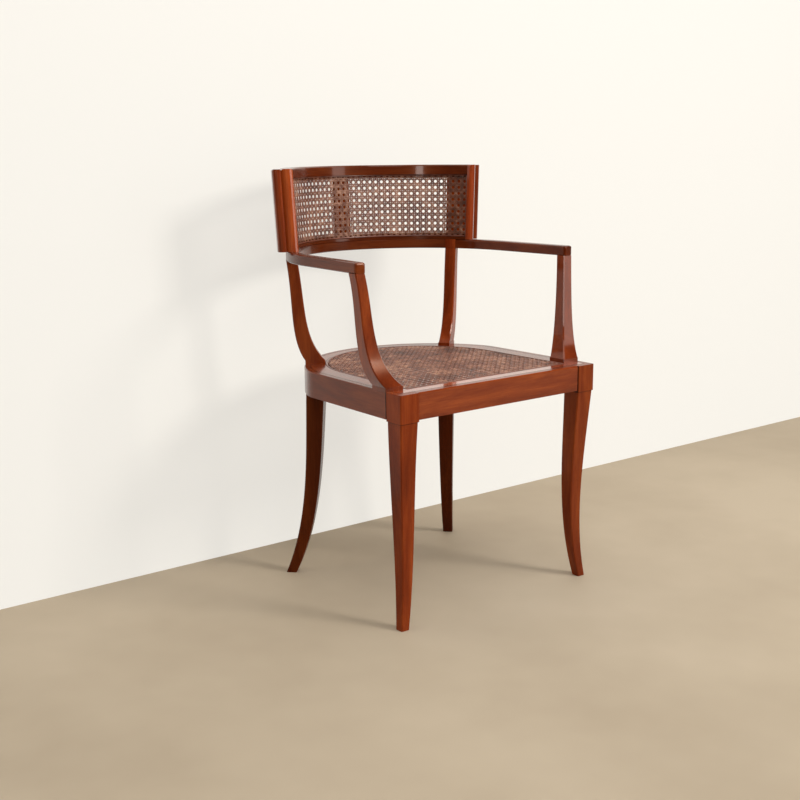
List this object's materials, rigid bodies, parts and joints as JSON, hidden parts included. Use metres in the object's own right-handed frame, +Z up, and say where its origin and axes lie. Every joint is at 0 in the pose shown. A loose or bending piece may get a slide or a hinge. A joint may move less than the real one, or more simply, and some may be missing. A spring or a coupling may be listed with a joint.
{
  "type": "klismos armchair",
  "caption": "Open armchair on sabre legs, with a caned seat, curved arms that run into a bow, and a low curved caned back, in reddish mahogany",
  "frame": {"origin": "on the floor, under the middle of the outline seen from above", "axes": "+X to the right seen from the front, +Y to the rear, +Z up"},
  "size_m": [0.54, 0.5199, 0.823],
  "materials": {
    "mahogany": "satin lacquered mahogany",
    "cane": "stained rattan cane",
    "spline": "stained reed spline",
    "screw_steel": "plain steel"
  },
  "bodies": {
    "root": {"arm_left": "mahogany", "arm_post_left": "mahogany", "arm_post_right": "mahogany", "arm_right": "mahogany", "back_bottom_rail": "mahogany", "back_cane": "cane", "back_centre_stile": "mahogany", "back_post_left": "mahogany", "back_post_right": "mahogany", "back_spline": "spline", "back_top_rail": "mahogany", "bow_rail": "mahogany", "corner_screws": "screw_steel", "end_stile_left": "mahogany", "end_stile_right": "mahogany", "front_brace_left": "mahogany", "front_brace_right": "mahogany", "front_leg_left": "mahogany", "front_leg_right": "mahogany", "front_rail": "mahogany", "outer_reed_left": "mahogany", "outer_reed_right": "mahogany", "rear_leg_left": "mahogany", "rear_leg_right": "mahogany", "rear_rail": "mahogany", "seat_cane": "cane", "seat_frame_front": "mahogany", "seat_frame_rear": "mahogany", "seat_frame_side_left": "mahogany", "seat_frame_side_right": "mahogany", "seat_spline": "spline", "side_rail_left": "mahogany", "side_rail_right": "mahogany"}
  },
  "joints": []
}
